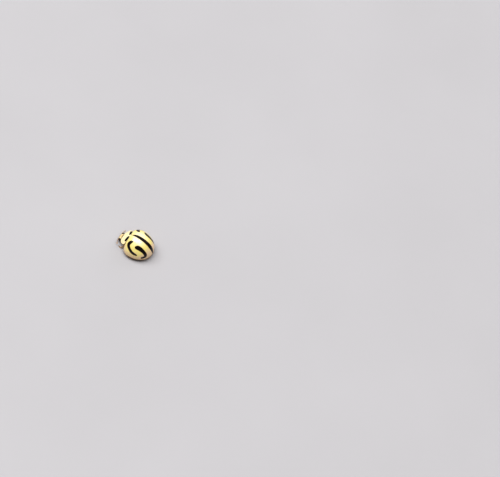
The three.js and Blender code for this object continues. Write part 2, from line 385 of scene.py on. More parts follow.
CASE = Sizes(
    columns=257, rows=262, wall=0.07, tip=math.radians(89.9),
    bow=0.06,  # the shoulders reach this much further forward than the middle
    corner=0.11,  # the front corners are rounded back this far at the rim
    tail_tint=0.16,  # the margins' peach reaches this much further in at the tail, near the seam: partly the tail's own pinkish tone and partly a painted sheen
)
SEAM_TURNS = [0, 0.0012, 0.0028, 0.005, 0.0078]  # extra columns along the seam, then even ones
SEAM_TURNS_END = 0.0112
BASE_STEPS = [0, 0.0012, 0.003, 0.0056]  # extra rows along the base, then even ones
BASE_STEPS_END = 0.009
SHOULDER = Sizes(x=1.02, y=-0.74, spread=0.17, rise=0.03)
PIT = Sizes(spacing=0.078, radius=0.0115, depth=0.0028)
PIT_JITTER = 0.32
PIT_CLEAR = Sizes(seam=0.06, rim=0.12, base=0.06)  # pits fade out this near each edge
SEAM_ROLL = Sizes(width=0.022, depth=0.012)
BASE_ROLL = Sizes(width=0.09, depth=0.045)
RIM_PINCH = Sizes(inset=0.03, height=0.3)
RIM_AMBER_AND_SHADE = 0.06  # height of the dark amber band over the rim: partly the bead's own colour and partly painted shade along the body's lower edge
LINING = Sizes(from_rim=13, step=4)  # the lining has one column for each few of the skin's

# The rim's section is (out, up) from the dome's edge: a bead, then a fold that runs in under the body.
BEAD = Sizes(out=-0.02, up=-0.002, radius=0.021, turns=(128, 100, 70, 40, 10, -20, -50, -80, -105))
FOLD = np.array([
    (-0.05, -0.016), (-0.11, -0.006), (-0.18, 0.0), (-0.24, -0.006), (-0.27, -0.018),
    (-0.285, -0.004), (-0.27, 0.02), (-0.2, 0.045), (-0.12, 0.075),
])
FOLD_WIDTH = ([0, 0.25, 0.7, 1], [1.0, 1.0, 0.7, 0.3])  # it gets narrower towards the tail


def case_grid():
    """The left wing case from above: columns from seam to rim, rows from base to tip, and its
    inner edge in each row."""
    turns = np.linspace(SEAM_TURNS_END, 1, CASE.columns - len(SEAM_TURNS))
    share = np.sin(RIGHT_ANGLE * np.concatenate([SEAM_TURNS, turns]))
    steps = np.linspace(BASE_STEPS_END, 1, CASE.rows - len(BASE_STEPS))
    step = np.concatenate([BASE_STEPS, steps])
    base_y = CASE_BASE_Y - CASE.bow * share**2
    base_y = base_y + CASE.corner * clip((share - 0.8) / 0.2) ** 2
    first = np.arcsin(base_y / DOME.front)
    angle = first[None, :] + (CASE.tip - first)[None, :] * step[:, None]
    y = span(angle, DOME) * np.sin(angle)
    notch_end = CASE_BASE_Y + SCUTELLUM.length + 2 * SCUTELLUM.clearance
    notch = np.clip((notch_end - y) / (notch_end - CASE_BASE_Y), 0, 1.1)
    edge = SEAM + (SCUTELLUM.half + SCUTELLUM.clearance) * notch
    wide = outline_half_width(y, DOME)
    edge = np.minimum(edge, wide * 0.5)
    return edge + (wide - edge) * share[None, :], y, edge


def case_skin(plain, normal, out, edge, base_roll, seed):
    """The outer skin: the plain dome with its shoulder, its rolled edges and its pits."""
    x, y, height = plain[..., 0], plain[..., 1], plain[..., 2] - RIM_HEIGHT
    pinch = clip(1 - height / RIM_PINCH.height) ** 2
    skin = plain - out * (RIM_PINCH.inset * pinch)[..., None]
    from_shoulder = (x - SHOULDER.x) ** 2 + (y - SHOULDER.y) ** 2
    callus = np.exp(-from_shoulder / (2 * SHOULDER.spread ** 2))
    skin += normal * (SHOULDER.rise * callus)[..., None]
    seam_roll = SEAM_ROLL.depth * clip(1 - (x - edge) / SEAM_ROLL.width) ** 2
    skin -= normal * (seam_roll + base_roll)[..., None]
    clear = clip((x - edge) / PIT_CLEAR.seam) * clip(height / PIT_CLEAR.rim)
    clear = clear * clip((y - y[:1]) / PIT_CLEAR.base)
    return skin - normal * (PIT.depth * pit_field(skin, PIT, seed) * clear)[..., None]


def case_rim(end, out):
    """The bead along the rim and the fold inside it, from the end of each row of the skin."""
    turns = np.radians(BEAD.turns)
    bead = BEAD.radius * np.column_stack([np.cos(turns), np.sin(turns)]) + (BEAD.out, BEAD.up)
    slim = np.interp(np.linspace(0, 1, len(end)), *FOLD_WIDTH)[:, None]
    out_by = np.concatenate([np.broadcast_to(bead[:, 0], (len(end), len(bead))), slim * FOLD[:, 0]], 1)
    rim = end[:, None] + out[:, None] * out_by[..., None]
    rim[..., 2] += np.append(bead[:, 1], FOLD[:, 1])
    rim[..., 0] = np.maximum(rim[..., 0], SEAM)
    return rim


def case_lining(plain, normal, y, kept):
    inner = plain - normal * CASE.wall
    inner[..., 0] = np.maximum(inner[..., 0], SEAM)
    inner[..., 1] = np.maximum(inner[..., 1], y[:1])
    return inner[:, kept]


def case_end(start, kept, lining_start):
    """Faces that close one end of the wall. Start is the number of that row's first point."""
    inside = start + lining_start
    strips = [
        [*range(start + kept[k + 1], start + kept[k] + 1), inside + k, inside + k + 1]
        for k in range(len(kept) - 1)
    ]
    return strips + [[*range(start + kept[0], inside + 1)]]


def wing_case(seed):
    """The left wing case: its skin, rim and lining run round each row as one closed ring."""
    x, y, edge = case_grid()
    plain = xyz(x, y, dome_height(x, y))
    normal, out = dome_directions(x, y)
    base_roll = BASE_ROLL.depth * clip(1 - (y - y[:1]) / BASE_ROLL.width) ** 2
    skin = case_skin(plain, normal, out, edge, base_roll, seed)
    rim = case_rim(plain[:, -1] - out[:, -1] * base_roll[:, -1:], out[:, -1])
    kept = np.append(np.arange(CASE.columns - LINING.from_rim, 0, -LINING.step), 0)
    loop = np.concatenate([skin, rim, case_lining(plain, normal, y, kept)], 1)
    rows, columns = loop.shape[:2]
    lining_start = CASE.columns + rim.shape[1]
    faces = grid_faces(rows, columns, wrap=True)
    faces += case_end(0, kept, lining_start) + case_end((rows - 1) * columns, kept, lining_start)

    def to_ring(values, rest):
        """Adds the value for the rim and the lining to the skin's own values."""
        return np.concatenate([values, np.full((rows, columns - CASE.columns), rest)], 1)

    flat = plain.reshape(-1, 3)
    marks = np.minimum.reduce([stripe_distance(flat, line, dome_height) for line in STRIPES.values()])
    # Peach reaching further in at the tail near the seam: partly the tail's own pinkish tone and partly a
    # painted sheen.
    tail = CASE.tail_tint * (smooth((y - 0.5) / 1.2) * clip(1.3 - x))
    shape = Shape()
    shape.add(
        loop, faces,
        stripe=to_ring(marks.reshape(x.shape), FAR),
        reach=to_ring(outline_reach(x, y, DOME) + tail, 1.0),
        # tone marks the band just over the rim and the whole rim and fold, where the dark amber goes:
        # partly the bead's own colour and partly painted shade.
        tone=to_ring(clip(1 - (plain[..., 2] - RIM_HEIGHT) / RIM_AMBER_AND_SHADE), 1.0),
    )
    return shape


# ---- shield and scutellum

SHIELD = Sizes(
    hind=-1.0, bow=0.055, length=0.77, notch=0.035,
    back_half=1.12, front_half=0.61, narrowing=1.4, bulge=0.062,
    back_height=1.70, drop=0.86, side_drop=0.6, front_side_drop=0.22,
    wall=0.035,  # half its thickness
    tint=0.12,  # width of the darker band inside its edge
)
CORNER = Sizes(hind=(0.2, 1.5), front=(0.36, 1.2))  # share of the half width, and how long it is drawn
SIDE_BEAD = ((0.014, 0.035, 0.022), (-0.008, 0.085, 0.03))  # a ridge along each side and a groove in it
SHIELD_PIT = Sizes(spacing=0.056, radius=0.0105, depth=0.0012)


def shield_half(t):
    """Half its width, which bulges a little between the corners."""
    narrowed = lerp(SHIELD.back_half, SHIELD.front_half, t ** SHIELD.narrowing)
    return narrowed + SHIELD.bulge * np.sin(math.pi * t)


def shield_point(t, u):
    """t from 0 at the hind edge to 1 at the front edge, u from -1 to 1 across."""
    hind = SHIELD.hind - SHIELD.bow * u**2
    front = SHIELD.hind - SHIELD.length - SHIELD.notch * u**2
    ridge = SHIELD.back_height - SHIELD.drop * (0.75 * t + 0.25 * t**2)
    side = lerp(SHIELD.side_drop, SHIELD.front_side_drop, t) * np.abs(u) ** 2.7
    return xyz(shield_half(t) * u, lerp(hind, front, t), ridge - side)


def shield_height(x, y):
    t = clip((SHIELD.hind - y) / SHIELD.length)
    return shield_point(t, x / shield_half(t))[..., 2]


def rounded(u, corner, stretch):
    """How far a corner's curve comes in from the edge, for a share u of the half width."""
    part = clip((np.abs(u) - (1 - corner)) / corner)
    return corner * (1 - np.sqrt(np.maximum(0, 1 - part**2))) * stretch


def shield(seed):
    rows, columns = 110, 190
    u = bunched(columns) * 0.5 + np.linspace(-1, 1, columns) * 0.5
    step = 0.5 * eased(rows) + 0.5 * np.linspace(0, 1, rows)
    start, stop = rounded(u, *CORNER.hind), 1 - rounded(u, *CORNER.front)
    t = start + (stop - start) * step[:, None]
    middle = shield_point(t, u)
    normal = grid_normals(middle)
    normal *= np.sign(normal[..., 2:3])
    from_hind = (t - start) * SHIELD.length
    from_front = (stop - t) * SHIELD.length
    from_side = 1 - np.abs(u)
    margin = np.minimum(np.minimum(from_hind, from_front), from_side)
    bead = ridges(from_side, *SIDE_BEAD) * smooth(from_front / 0.2) * smooth(from_hind / 0.1)
    pits = pit_field(middle, SHIELD_PIT, seed) * clip((margin - 0.03) / 0.04)
    wall = SHIELD.wall
    round_edge = wall * quarter_round(margin / wall)
    upper = middle + normal * (round_edge - wall + bead - SHIELD_PIT.depth * pits)[..., None]
    lower = middle - normal * (round_edge + wall)[..., None]

    inside = np.zeros((rows, columns), bool)
    inside[1:-1, 1:-1] = True
    inside = inside.ravel()
    below = np.arange(rows * columns)  # the lower skin shares the border's points
    below[inside] = rows * columns + np.arange(inside.sum())
    top_faces = grid_faces(rows, columns)
    bottom_faces = [[below[i] for i in face[::-1]] for face in top_faces]
    marks = stripe_distance(to_left(middle).reshape(-1, 3), SHIELD_BARS, shield_height)
    tone = clip(1 - margin.ravel() / SHIELD.tint)
    shape = Shape()
    shape.add(
        np.concatenate([upper.reshape(-1, 3), lower.reshape(-1, 3)[inside]]), top_faces + bottom_faces,
        stripe=np.append(marks, np.full(inside.sum(), FAR)), tone=np.append(tone, tone[inside]),
    )
    return shape


def scutellum():
    """The small triangle between the wing cases' bases. It starts just under the shield."""
    rows, columns = 26, 31
    share = 1 - np.linspace(0, 1, rows)[:, None]
    u = bunched(columns)[None, :]
    x = (SCUTELLUM.half * share**0.92 + 0.004) * u
    y = np.linspace(CASE_BASE_Y - 0.02, CASE_BASE_Y + SCUTELLUM.length, rows)[:, None]
    fall = 0.03 * np.abs(u) ** 4 + 0.02 * (1 - share) ** 6
    top = xyz(x, y, dome_height(x, y) - 0.008 - fall)
    low = top - (0, 0, 0.12)
    shape = Shape()
    shape.loft(np.concatenate([top, low[:, ::-1]], 1), stripe=FAR, tone=0.3)
    return shape


# ---- head

HEAD_STATIONS = [  # (y, half width, top, bottom) from the neck to the front edge of the face
    (-1.42, 0.30, 0.62, 0.34), (-1.50, 0.42, 0.68, 0.27), (-1.62, 0.50, 0.725, 0.22),
    (-1.76, 0.535, 0.74, 0.20), (-1.88, 0.515, 0.72, 0.19), (-1.99, 0.44, 0.665, 0.19),
    (-2.07, 0.35, 0.59, 0.21), (-2.12, 0.27, 0.51, 0.26), (-2.145, 0.20, 0.44, 0.32),
]
HEAD = Sizes(rows=90, sides=130, powers=(2.25, 2.1), middle=(0, -1.8, 0.47), hairs=(900, 0.022))
HEAD_PIT = Sizes(spacing=0.055, radius=0.012, depth=0.003)
BROW = ((0.009, 1.1, 0.07), (-0.012, 1.3, 0.1))  # a ridge and a groove round each eye
CLYPEUS = Sizes(groove=(-0.008, -2.03, 0.014), bow=0.35)
FRONS = Sizes(hollow=(-0.014, -1.93, 0.1), across=(1, 0, 0.16))

ANTENNA_LINE = [
    (0.33, -2.02, 0.41), (0.47, -2.085, 0.43), (0.66, -2.07, 0.43), (0.86, -2.0, 0.41), (1.02, -1.9, 0.37),
]
ANTENNA_SEGMENTS = [  # (length, half width at its base, half width at its end)
    (0.115, 0.03, 0.041), (0.07, 0.026, 0.031), (0.075, 0.017, 0.023), (0.05, 0.018, 0.023),
    (0.047, 0.018, 0.024), (0.045, 0.019, 0.025), (0.043, 0.019, 0.026), (0.043, 0.02, 0.028),
    (0.06, 0.024, 0.043), (0.062, 0.034, 0.055), (0.075, 0.043, 0.05),
]
ANTENNA_HAIRS = {"stem": (16, 0.026), "club": (70, 0.03)}
CLUB = 3  # the last few segments

LIP = Sizes(half=0.205, top=0.338, length=0.105, front=-2.143, bulge=0.022, thick=0.014)
PALP = {"rows": 16, "hairs": (16, 0.03), "tone": 0.3}
MOUTH = [  # (line, half widths, settings) of each left piece
    ([(0.2, -2.0, 0.25), (0.175, -2.08, 0.238), (0.105, -2.128, 0.226), (0.01, -2.14, 0.214)],  # jaw
     [0.045, 0.043, 0.033, 0.02, 0.005], {"depth": 0.8, "tone": np.linspace(0.5, 1.3, 30)}),
    ([(0.17, -1.96, 0.2), (0.24, -2.0, 0.19)], [0.03, 0.036, 0.03], PALP),
    ([(0.235, -2.0, 0.19), (0.3, -2.07, 0.2)], [0.022, 0.036, 0.034], PALP),
    ([(0.3, -2.065, 0.2), (0.29, -2.115, 0.19)], [0.022, 0.034, 0.034], PALP),
    ([(0.29, -2.105, 0.19), (0.265, -2.14, 0.17), (0.235, -2.165, 0.145)],  # its axe-shaped end
     [0.026, 0.056, 0.078, 0.084],
     {"depth": 0.42, "rows": 26, "sides": 28, "ends": (0.1, 0.1), "hairs": (60, 0.024), "tone": 0.5}),
    ([(0.06, -2.04, 0.165), (0.085, -2.1, 0.15)], [0.014, 0.02, 0.018],  # the small palp
     {"rows": 12, "hairs": (8, 0.02), "tone": 0.3}),
    ([(0.085, -2.095, 0.15), (0.08, -2.14, 0.14)], [0.013, 0.018, 0.01],
     {"rows": 12, "hairs": (8, 0.02), "tone": 0.5}),
]


def eye_distance(points):
    """From the middle of the eye on each point's own side, in half sizes of the eye."""
    return np.linalg.norm((to_left(points) - EYE.place) / np.array(EYE.half), axis=-1)


def head_capsule(seed):
    """The head, from the neck hidden under the shield to the front edge of the face."""
    stations = spline(HEAD_STATIONS, HEAD.rows)
    level, upright = oval(circle(HEAD.sides), *HEAD.powers)
    y, half, top, bottom = (stations[:, k:k + 1] for k in range(4))
    middle = (top + bottom) / 2
    x = half * level
    grid = xyz(x, y, middle + (top - middle) * upright)
    normal = grid_normals(grid, wrap=True)
    normal = normal * np.sign(np.sum(normal * (grid - HEAD.middle), -1, keepdims=True))
    from_eye = eye_distance(grid)
    face = clip(upright)
    clypeus = ridges(grid[..., 1] - CLYPEUS.bow * x**2, CLYPEUS.groove) * face
    frons = ridges(x, FRONS.across) * ridges(grid[..., 1], FRONS.hollow) * face
    pits = pit_field(grid, HEAD_PIT, seed) * clip((from_eye - 1.25) / 0.2)
    relief = ridges(from_eye, *BROW) + clypeus + frons - HEAD_PIT.depth * pits
    grid = grid + normal * relief[..., None]
    x, y, z = np.moveaxis(grid, -1, 0)
    # The dark band across the crown, from just ahead of the shield's front edge backwards, is partly the
    # head's dark vertex and partly painted shade from the shield.
    dark_vertex_and_shade = clip((y + 1.885 - 0.5 * x**2) / 0.03) * face
    front = 0.6 * clip((-2.05 - y) / 0.05)
    shape = Shape()
    shape.loft(grid, tone=clip(dark_vertex_and_shade + front + clip((0.3 - z) / 0.08)))
    shape.skins.append((grid, *HEAD.hairs))
    return shape


def on_the_face(root, out):
    """Hairs grow on the upper face, clear of the eyes and of the shield."""
    return (eye_distance(root) > 1.35) & (root[:, 1] < -1.86) & (out[:, 2] > 0.1)


def eye_ball():
    """A compound eye: many small lenses over a stretched ball."""
    work = bmesh.new()
    bmesh.ops.create_icosphere(work, subdivisions=6, radius=1.0)
    points = np.array([v.co for v in work.verts])
    faces = [[v.index for v in face.verts] for face in work.faces]
    work.free()
    count = EYE.facets
    k = np.arange(count) + 0.5
    polar = np.arccos(1 - 2 * k / count)
    turn = math.pi * (1 + 5**0.5) * k  # the golden angle spreads the lenses evenly
    centres = np.column_stack([np.cos(polar), np.cos(turn) * np.sin(polar), np.sin(turn) * np.sin(polar)])
    facet = math.sqrt(4 * math.pi / count / 0.866) / 2  # half a lens's width, as a hexagon
    from_middle = np.minimum(distance_to(points, centres) / facet, 1.15)
    lens = 1 - EYE.bulge / EYE.half[0] * from_middle**2
    shape = Shape()
    shape.add(np.array(EYE.place) + points * lens[:, None] * np.array(EYE.half), faces)
    return shape


def antenna():
    shape = Shape()
    line = spline(ANTENNA_LINE, 400)
    length = arc_length(line)
    scale = length[-1] / sum(s[0] for s in ANTENNA_SEGMENTS)
    start = 0.0
    rows = 22
    for n, (long, base, tip) in enumerate(ANTENNA_SEGMENTS):
        stop = start + long * scale
        controls = points_along(line, length, np.linspace(start - 0.006, stop, 5))
        widths = [base * 0.75, base, lerp(base, tip, 0.6), tip, tip * 0.96]
        hairs = ANTENNA_HAIRS["club" if n >= len(ANTENNA_SEGMENTS) - CLUB else "stem"]
        shape.segment(controls, widths, depth=0.85, rows=rows, ends=(0.12, 0.2), hairs=hairs,
                      tone=np.linspace(0, 0.4, rows))
        start = stop
    return shape


def lip():
    """Rings of the upper lip, a thin plate with a round lower edge that is notched in the middle."""
    u = bunched(44, 0.96)[:, None]
    v = eased(22, inset=0.03)[None, :]
    length = LIP.length * (1 - 0.42 * np.abs(u) ** 2.6 - ridges(u, (0.07, 0, 0.16)))
    x = LIP.half * u * (1 - 0.12 * v)
    y = LIP.front + 0.07 * u**2
    y = y - LIP.bulge * np.sin(math.pi * (0.2 + 0.65 * v)) * np.sqrt(1 - 0.8 * u**2)
    z = LIP.top - length * v
    half = LIP.thick * np.sqrt(1 - (2 * v - 1) ** 4) * np.sqrt(1 - np.abs(u) ** 6)
    return np.concatenate([xyz(x, y - half, z), xyz(x, y + half, z)[:, ::-1]], 1)


def mouthparts():
    """Upper lip, jaws, the two pairs of palps and the chin."""
    shape = Shape()
    rings = lip()
    shape.loft(rings, tone=0.25)
    fringe = rings[:, ::2].transpose(1, 0, 2)[6:15]
    shape.skins.append((fringe, 60, 0.035))
    shape.ball((0, -1.97, 0.2), (0.15, 0.12, 0.05), tone=0.3)
    for side in (-1, 1):
        for line, widths, settings in MOUTH:
            shape.segment(np.array(line) * (side, 1, 1), widths, **settings)
    return shape


# ---- legs

CLAW_ROOT = 0.91  # share of the way from ankle to toe
CLAW = [  # (line, half widths, settings) of a claw's hook and its tooth, as (ahead, aside, height)
    ([(0, 0.01, 0.062), (0.03, 0.028, 0.064), (0.06, 0.044, 0.045), (0.072, 0.05, 0.004)],
     [0.011, 0.012, 0.009, 0.002], {"rows": 22, "sides": 12, "tone": np.linspace(0.5, 1, 22)}),
    ([(0.012, 0.018, 0.058), (0.03, 0.024, 0.042), (0.038, 0.028, 0.028)],
     [0.009, 0.008, 0.002], {"rows": 12, "sides": 10, "tone": 0.8}),
]


def femur(hip, knee):
    shape = Shape()
    lift = (0, 0, 0.02)
    shape.ball(hip - (0.02, 0, 0), (0.075, 0.065, 0.055), rows=18, sides=24, tone=0.3)
    controls = [hip, lerp(hip, knee, 0.33) + lift, lerp(hip, knee, 0.7) + lift, knee]
    shape.segment(controls, [0.06, 0.10, 0.118, 0.105, 0.08, 0.062], depth=0.78, rows=44, sides=30,
                  power=2.2, ends=(0.08, 0.07), hairs=(110, 0.045), tone=0.1)
    return shape


def tibia(knee, ankle):
    """The shin, with two short spurs at its end."""
    shape = Shape()
    controls = [knee, lerp(knee, ankle, 0.5) + (0, 0, 0.025), ankle]
    shape.segment(controls, [0.04, 0.048, 0.056, 0.062, 0.066], depth=0.8, rows=40, sides=24,
                  power=2.4, ends=(0.08, 0.05), hairs=(190, 0.05), tone=np.linspace(0.4, 0.1, 40))
    forward = unit(ankle - knee)
    for turn in (-1, 1):
        aside = np.array([-forward[1], forward[0], 0]) * turn * 0.03
        spur = [ankle - forward * 0.02 + aside, ankle + forward * 0.035 + aside * 1.5]
        shape.segment(spur, [0.01, 0.007, 0.002], rows=8, sides=8, tone=0.8)
    return shape


def foot_places(ankle, toe):
    """Gives a function for places on the foot, by their share of the way from ankle to toe."""
    level = (toe - ankle) * (1, 1, 0)
    reach = np.linalg.norm(level)
    ahead = level / reach
    across = np.array([-ahead[1], ahead[0], 0])

    def at(share, height, aside=0.0, further=0.0):
        place = ankle + ahead * reach * share + ahead * further + across * aside
        return (place[0], place[1], height)
    return at


def tarsus(ankle, toe):
    """Three visible joints: a short one, a two-lobed one and the slender one that carries the claws."""
    shape = Shape()
    at = foot_places(ankle, toe)
    shape.segment([at(-0.04, 0.1), at(0.12, 0.075), at(0.3, 0.05)], [0.03, 0.042, 0.05, 0.048],
                  depth=0.8, rows=26, sides=22, hairs=(120, 0.035))
    shape.segment([at(0.26, 0.058), at(0.4, 0.045), at(0.5, 0.04)], [0.028, 0.046, 0.05],
                  depth=0.75, rows=22, sides=22, hairs=(70, 0.035))
    for turn in (-1, 1):
        lobe = [at(0.36, 0.042, turn * 0.022), at(0.5, 0.036, turn * 0.036), at(0.62, 0.033, turn * 0.042)]
        shape.segment(lobe, [0.024, 0.032, 0.028, 0.02], depth=0.95, rows=20, sides=18, hairs=(70, 0.032))
    shape.segment([at(0.42, 0.06), at(0.62, 0.074), at(0.82, 0.075), at(0.93, 0.06)],
                  [0.017, 0.02, 0.024, 0.029, 0.026], rows=30, sides=18, hairs=(50, 0.035), tone=0.15)
    return shape


def claws(ankle, toe):
    shape = Shape()
    at = foot_places(ankle, toe)
    for turn in (-1, 1):
        for line, widths, settings in CLAW:
            controls = [at(CLAW_ROOT, height, turn * aside, ahead) for ahead, aside, height in line]
            shape.segment(controls, widths, ends=(0.1, 0.02), **settings)
    return shape


# ---- fine hairs

HAIR = Sizes(radius=0.0022, sides=3, rise=0.45, patch=0.003, stray=0.18, lengths=(0.7, 1.15))
HAIR_STEPS = np.array([0.0, 0.36, 0.7])  # rings along a hair, which ends in a point
HAIR_TAPER = np.array([1.0, 0.82, 0.5])
ROOT_ROWS = (0.05, 0.93)  # hairs grow between these shares of a skin's length


def grow(coat, rings, count, length, rng, cell, keep=None):
    """Adds bent hairs over a skin of rings. They lie along it, from its first ring to its last.
    Cell is the skin's own part of the map, as (left, bottom, width, height)."""
    rows, sides = rings.shape[:2]
    row = rng.uniform(*ROOT_ROWS, count) * (rows - 1)
    turn = rng.uniform(0, sides - 1e-6, count)
    i, j = row.astype(int), turn.astype(int)
    f, g = (row - i)[:, None], (turn - j)[:, None]
    k = (j + 1) % sides
    here, ahead = lerp(rings[i, j], rings[i, k], g), lerp(rings[i + 1, j], rings[i + 1, k], g)
    root = lerp(here, ahead, f)
    lie = unit(ahead - here)
    core = rings.mean(axis=1)
    out = root - lerp(core[i], core[i + 1], f)
    out = unit(out - lie * np.sum(out * lie, axis=1, keepdims=True))
    place = np.column_stack([cell[0] + cell[2] * row / (rows - 1), cell[1] + cell[3] * turn / sides])
    chosen = np.ones(count, bool) if keep is None else keep(root, out)
    lie = unit(lie + rng.normal(0, HAIR.stray, (count, 3)))
    long = length * rng.uniform(*HAIR.lengths, count)
    root, lie, out, long, place = (part[chosen] for part in (root, lie, out, long, place))

    side = np.cross(lie, out)[:, None]
    lie, out = lie[:, None], out[:, None]
    turn = circle(HAIR.sides)[:, None]
    rim = np.cos(turn) * side + np.sin(turn) * out
    at = np.append(HAIR_STEPS, 1.0)[:, None]
    spine = root[:, None] + long[:, None, None] * (lie * at + out * HAIR.rise * (at - 0.5 * at**2))
    hoops = spine[:, :-1, None] + HAIR.radius * HAIR_TAPER[:, None, None] * rim[:, None]
    points = np.concatenate([hoops.reshape(len(root), -1, 3), spine[:, -1:]], 1)
    points[..., 2] = np.maximum(points[..., 2], 0.0)  # hairs of the soles spread on the floor
    faces = grid_faces(len(HAIR_STEPS), HAIR.sides, wrap=True)
    last, tip = (len(HAIR_STEPS) - 1) * HAIR.sides, points.shape[1] - 1
    faces += [[last + n, last + (n + 1) % HAIR.sides, tip] for n in range(HAIR.sides)]
    faces.append(list(reversed(range(HAIR.sides))))
    across = np.append(np.tile(np.arange(HAIR.sides) / HAIR.sides, len(HAIR_STEPS)), 0.5)
    along = np.append(np.repeat(HAIR_STEPS, HAIR.sides), 1.0)
    patch = HAIR.patch * (np.column_stack([across, along]) - 0.5)
    for hair, middle in zip(points, place):
        coat.add(hair, faces, tone=np.linspace(0, 1, tip + 1))
        coat.patches.append(middle + patch)


def hair_coat(skins, seed, keep=None):
    """One mesh of hairs over several skins, each with a row of its own in the map."""
    rng = np.random.default_rng(seed)
    coat = Shape()
    height = 1 / len(skins)
    for n, (rings, count, length) in enumerate(skins):
        cell = (0.01, (n + 0.02) * height, 0.98, 0.96 * height)
        grow(coat, rings, count, length, rng, cell, keep)
    return coat


# ---- underside

NOSE = Sizes(length=0.14, draw_in=0.2)  # the thorax's round front end
SIDE_GROOVES = ((0.018, -0.86, 0.014), (0.018, -0.62, 0.014))
VENTRITES = (0.2, 0.62, 0.98, 1.28, 1.54, 1.76, 2.05)  # edges of the abdomen's plates
VENTRITE_STEP = 0.022
BELLY = Sizes(depth=0.05, half=1.35)
BELLY_HAIR = 0.05  # length
PROSTERNUM = Sizes(
    along=(0.04, 0.66), across=0.9, under_shield=0.1, floor=0.47, keel=(0.02, 0.07, 0.018),
)


def belly(x):
    return BELLY.depth * clip(1 - (x / BELLY.half) ** 2)


def thorax_relief(x, y):
    """How far the underside stands down, with the grooves between its plates."""
    middle = ridges(x, (-0.01, 0, 0.012)) * (y > -0.35)
    bank = ridges(np.abs(x) + 0.12 * (y + 0.4), (-0.014, 1.02, 0.014))
    front = ridges(y + 0.05 * x**2, (-0.014, -0.62, 0.014))
    return belly(x) + middle + bank + front


def abdomen_relief(x, y):
    """How far the underside stands down. Each plate ends in a step over the next."""
    edges = np.array(VENTRITES)
    back = y + 0.13 * (x / 1.4) ** 2
    slot = np.clip(np.searchsorted(edges, back) - 1, 0, len(edges) - 2)
    share = clip((back - edges[slot]) / (edges[slot + 1] - edges[slot]))
    step = VENTRITE_STEP * smooth(share * 1.1) * np.where(share > 0.97, (1 - share) / 0.03, 1)
    return belly(x) * clip((2.0 - y) / 0.5) + step


def trunk_part(ends, rows, columns, relief, hairs, leg, draw_in=0.0):
    """Part of the body under the wing cases, with one pair of hips. Ends are along Y."""
    y = np.linspace(*ends, rows)[:, None]
    x = outline_half_width(y, TRUNK) * bunched(columns)
    reach = outline_reach(x, y, TRUNK)
    nose = clip(1 - (y - ends[0]) / NOSE.length)
    scale = 1 - draw_in * (1 - np.sqrt(1 - nose**2)) - ridges(y, *SIDE_GROOVES)
    rise = TRUNK.rise * np.sqrt(np.maximum(0, 1 - reach**2)) + 0.01
    upper = xyz(x * scale, y, TRUNK.floor + rise * scale)[:, ::3]
    lower = xyz(x * scale, y, TRUNK.floor - relief(x, y) * scale)
    rings = np.concatenate([upper, lower[:, ::-1]], 1)
    shape = Shape()
    shape.loft(rings, reach=np.concatenate([np.ones(upper.shape[:2]), reach[:, ::-1]], 1))
    shape.skins.append((rings, hairs, BELLY_HAIR))
    add_coxae(shape, leg)
    return shape


def underneath(root, out):
    """Hairs grow only on the underside, inside its edge."""
    level = np.abs(root[:, 0]) < 0.93 * TRUNK.side
    return (out[:, 2] < -0.3) & (root[:, 2] < TRUNK.floor + 0.01) & level


def prosternum():
    """The first segment's underside: side plates under the shield and the front hips."""
    rows, columns = 50, 90
    t = np.linspace(*PROSTERNUM.along, rows)[:, None]
    u = PROSTERNUM.across * bunched(columns)
    top = shield_point(t, u) - (0, 0, PROSTERNUM.under_shield)
    low = top.copy()
    brim = smooth((np.abs(u) - 0.5) / 0.4)
    low[..., 0] *= lerp(0.9, 0.99, brim)
    floor = PROSTERNUM.floor + 0.5 * clip(np.abs(u) - 0.3) ** 1.3
    floor = floor - ridges(np.abs(low[..., 0]), PROSTERNUM.keel)
    low[..., 2] = lerp(np.minimum(floor, top[..., 2] - 0.04), top[..., 2] - 0.015, brim)
    rings = np.concatenate([top[:, ::2], low[:, ::-1]], 1)
    shape = Shape()
    shape.loft(rings, tone=clip(np.abs(rings[..., 0]) / 0.45 - 0.8))
    add_coxae(shape, "front")
    return shape


# ---- materials


